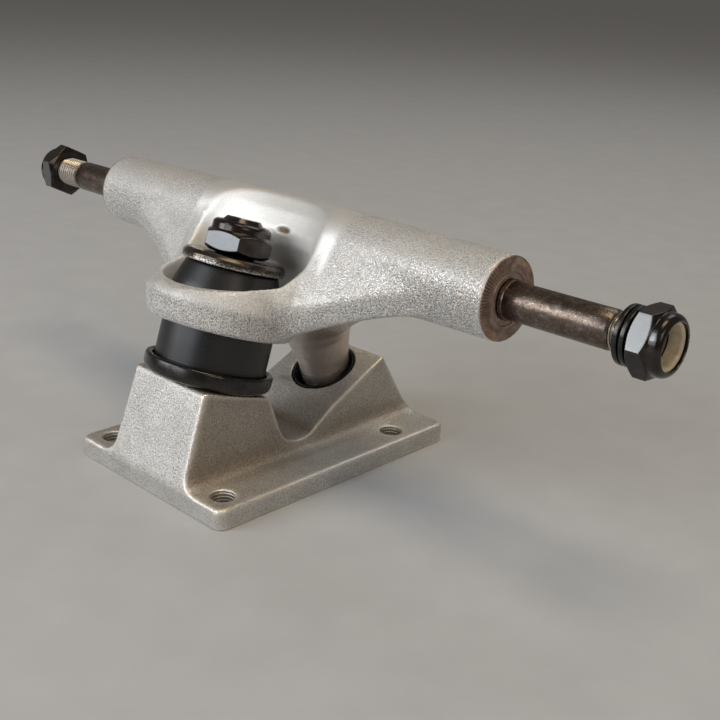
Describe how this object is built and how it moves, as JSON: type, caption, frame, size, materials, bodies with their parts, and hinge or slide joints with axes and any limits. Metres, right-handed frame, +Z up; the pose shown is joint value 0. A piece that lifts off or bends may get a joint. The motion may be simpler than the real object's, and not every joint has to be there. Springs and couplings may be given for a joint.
{
  "type": "skateboard truck",
  "caption": "Skateboard truck with raw cast hanger and baseplate, black urethane bushings, dark steel axle and black lock nuts",
  "frame": {"origin": "centre of the four board-bolt holes, on the underside of the baseplate", "axes": "+X along the axle, +Y from the kingpin to the pivot, +Z up from the board side to the axle"},
  "size_m": [0.2038, 0.0741, 0.0631],
  "materials": {
    "cast_grey": "matte as-cast grey with a fine grain, brownish in the hollows",
    "cast_bright": "tumbled raw casting, bright and smooth in the bowl, speckled on ring and lower wing faces",
    "black_urethane": "satin black urethane",
    "cup_rubber": "matte black rubber",
    "black_oxide": "glossy black oxide on steel, worn bright on edges and flats",
    "brown_oxide": "dark brown oxide on steel with a silvery worn rim",
    "axle_steel": "mottled brown-black steel rod, bright on the threads",
    "ivory_nylon": "ivory nylon",
    "dark_nylon": "black nylon"
  },
  "bodies": {
    "base": {"baseplate": "cast_grey", "pivot_cup": "cup_rubber", "kingpin": "black_oxide", "bottom_washer": "black_oxide", "bottom_bushing": "black_urethane", "top_bushing": "black_urethane", "top_washer": "brown_oxide"},
    "hanger_body": {"hanger": "cast_bright", "axle": "axle_steel"},
    "kingpin_nut_body": {"kingpin_nut": "black_oxide", "kingpin_nut_insert": "dark_nylon"},
    "nut_right_body": {"axle_nut_right": "black_oxide", "axle_nut_insert_right": "ivory_nylon"},
    "nut_left_body": {"axle_nut_left": "black_oxide", "axle_nut_insert_left": "ivory_nylon"},
    "washer_inner_body": {"speed_washer_inner": "black_oxide"},
    "washer_outer_body": {"speed_washer_outer": "black_oxide"}
  },
  "joints": [
    {"name": "hanger_steer", "type": "hinge", "parent": "base", "child": "hanger_body", "pos_m": [0, 0.02399, 0.01449], "axis": [0, -0.8068, 0.5909], "range_deg": [-15, 15], "stiffness_Nm_per_rad": 18, "deforming": ["bottom_bushing", "top_bushing"]},
    {"name": "kingpin_nut_spin", "type": "hinge", "parent": "base", "child": "kingpin_nut_body", "pos_m": [0, -0.0055, 0.05424], "axis": [0, 0.294, 0.9558], "continuous": true},
    {"name": "axle_nut_right_spin", "type": "hinge", "parent": "hanger_body", "child": "nut_right_body", "pos_m": [0.0985, 0.00986, 0.05349], "axis": [1, 0, 0], "continuous": true},
    {"name": "axle_nut_left_spin", "type": "hinge", "parent": "hanger_body", "child": "nut_left_body", "pos_m": [-0.0985, 0.00986, 0.05349], "axis": [1, 0, 0], "continuous": true},
    {"name": "speed_washer_inner_spin", "type": "hinge", "parent": "hanger_body", "child": "washer_inner_body", "pos_m": [0.0927, 0.00986, 0.05349], "axis": [1, 0, 0], "continuous": true},
    {"name": "speed_washer_outer_spin", "type": "hinge", "parent": "hanger_body", "child": "washer_outer_body", "pos_m": [0.0941, 0.00986, 0.05349], "axis": [1, 0, 0], "continuous": true}
  ]
}
